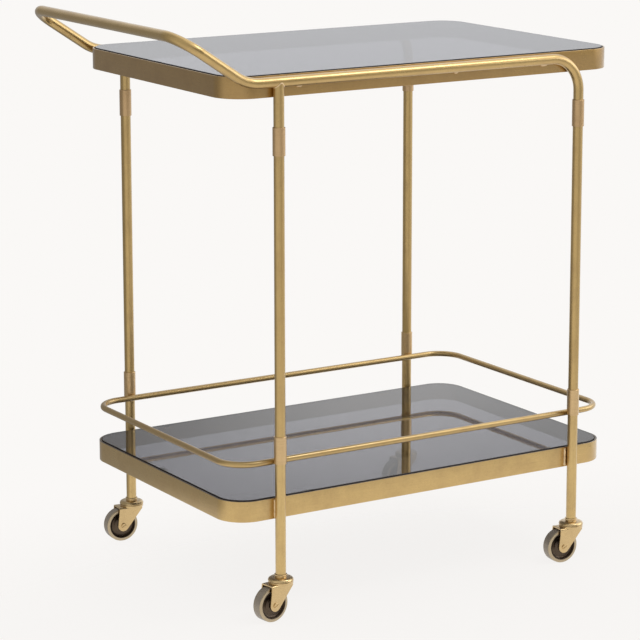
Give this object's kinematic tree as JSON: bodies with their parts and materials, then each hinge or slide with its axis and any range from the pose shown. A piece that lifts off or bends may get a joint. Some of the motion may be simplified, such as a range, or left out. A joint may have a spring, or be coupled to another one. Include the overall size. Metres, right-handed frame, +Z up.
{
  "type": "bar cart",
  "caption": "Two-tier rolling bar cart: bent brass-finish tube frame with a raised push handle, smoked glass shelves, a low guard rail and swivel casters.",
  "frame": {"origin": "on the floor under the middle of the whole cart, push handle included", "axes": "+X along the long side away from the push handle, +Y to the rear long side, +Z up"},
  "size_m": [0.792, 0.5152, 0.8918],
  "materials": {
    "brass_tube": "satin antique brass plating",
    "brass_band": "satin antique brass plating",
    "brass_rod": "satin antique brass plating",
    "brass_sleeve": "satin antique brass plating",
    "caster_brass": "bright antique brass plating",
    "wheel_metal": "dark antique brass plating",
    "ball_steel": "polished",
    "tread_plastic": "smooth taupe tread",
    "smoked_glass": "polished smoked grey",
    "clear_pad": "soft translucent",
    "socket_plastic": "moulded"
  },
  "bodies": {
    "frame": {"handle_frame": "brass_tube", "stub_left_front": "brass_tube", "stub_left_rear": "brass_tube", "lower_band": "brass_band", "upper_band": "brass_band", "lower_tabs": "brass_band", "upper_tabs": "brass_band", "lower_glass": "smoked_glass", "upper_glass": "smoked_glass", "lower_pads": "clear_pad", "upper_pads": "clear_pad", "guard_rail": "brass_rod", "upper_leg_left_front": "brass_tube", "lower_leg_left_front": "brass_tube", "upper_sleeve_left_front": "brass_sleeve", "lower_sleeve_left_front": "brass_sleeve", "stem_socket_left_front": "socket_plastic", "caster_stem_left_front": "caster_brass", "caster_balls_left_front": "ball_steel", "upper_leg_right_front": "brass_tube", "lower_leg_right_front": "brass_tube", "upper_sleeve_right_front": "brass_sleeve", "lower_sleeve_right_front": "brass_sleeve", "stem_socket_right_front": "socket_plastic", "caster_stem_right_front": "caster_brass", "caster_balls_right_front": "ball_steel", "upper_leg_left_rear": "brass_tube", "lower_leg_left_rear": "brass_tube", "upper_sleeve_left_rear": "brass_sleeve", "lower_sleeve_left_rear": "brass_sleeve", "stem_socket_left_rear": "socket_plastic", "caster_stem_left_rear": "caster_brass", "caster_balls_left_rear": "ball_steel", "upper_leg_right_rear": "brass_tube", "lower_leg_right_rear": "brass_tube", "upper_sleeve_right_rear": "brass_sleeve", "lower_sleeve_right_rear": "brass_sleeve", "stem_socket_right_rear": "socket_plastic", "caster_stem_right_rear": "caster_brass", "caster_balls_right_rear": "ball_steel"},
    "fork_left_front": {"caster_fork_left_front": "caster_brass", "caster_axle_left_front": "caster_brass"},
    "wheel_left_front": {"caster_wheel_left_front": "wheel_metal", "caster_tyre_left_front": "tread_plastic"},
    "fork_right_front": {"caster_fork_right_front": "caster_brass", "caster_axle_right_front": "caster_brass"},
    "wheel_right_front": {"caster_wheel_right_front": "wheel_metal", "caster_tyre_right_front": "tread_plastic"},
    "fork_left_rear": {"caster_fork_left_rear": "caster_brass", "caster_axle_left_rear": "caster_brass"},
    "wheel_left_rear": {"caster_wheel_left_rear": "wheel_metal", "caster_tyre_left_rear": "tread_plastic"},
    "fork_right_rear": {"caster_fork_right_rear": "caster_brass", "caster_axle_right_rear": "caster_brass"},
    "wheel_right_rear": {"caster_wheel_right_rear": "wheel_metal", "caster_tyre_right_rear": "tread_plastic"}
  },
  "joints": [
    {"name": "swivel_left_front", "type": "hinge", "parent": "frame", "child": "fork_left_front", "pos_m": [-0.225, -0.2381, 0.06], "axis": [0, 0, 1], "continuous": true},
    {"name": "roll_left_front", "type": "hinge", "parent": "fork_left_front", "child": "wheel_left_front", "pos_m": [-0.24481, -0.24088, 0.027], "axis": [0.1392, -0.9903, 0], "continuous": true},
    {"name": "swivel_right_front", "type": "hinge", "parent": "frame", "child": "fork_right_front", "pos_m": [0.317, -0.2381, 0.06], "axis": [0, 0, 1], "continuous": true},
    {"name": "roll_right_front", "type": "hinge", "parent": "fork_right_front", "child": "wheel_right_front", "pos_m": [0.29705, -0.2367, 0.027], "axis": [-0.0698, -0.9976, 0], "continuous": true},
    {"name": "swivel_left_rear", "type": "hinge", "parent": "frame", "child": "fork_left_rear", "pos_m": [-0.225, 0.2381, 0.06], "axis": [0, 0, 1], "continuous": true},
    {"name": "roll_left_rear", "type": "hinge", "parent": "fork_left_rear", "child": "wheel_left_rear", "pos_m": [-0.24494, 0.23967, 0.027], "axis": [-0.0785, -0.9969, 0], "continuous": true},
    {"name": "swivel_right_rear", "type": "hinge", "parent": "frame", "child": "fork_right_rear", "pos_m": [0.317, 0.2381, 0.06], "axis": [0, 0, 1], "continuous": true},
    {"name": "roll_right_rear", "type": "hinge", "parent": "fork_right_rear", "child": "wheel_right_rear", "pos_m": [0.29703, 0.23705, 0.027], "axis": [0.0523, -0.9986, 0], "continuous": true}
  ]
}
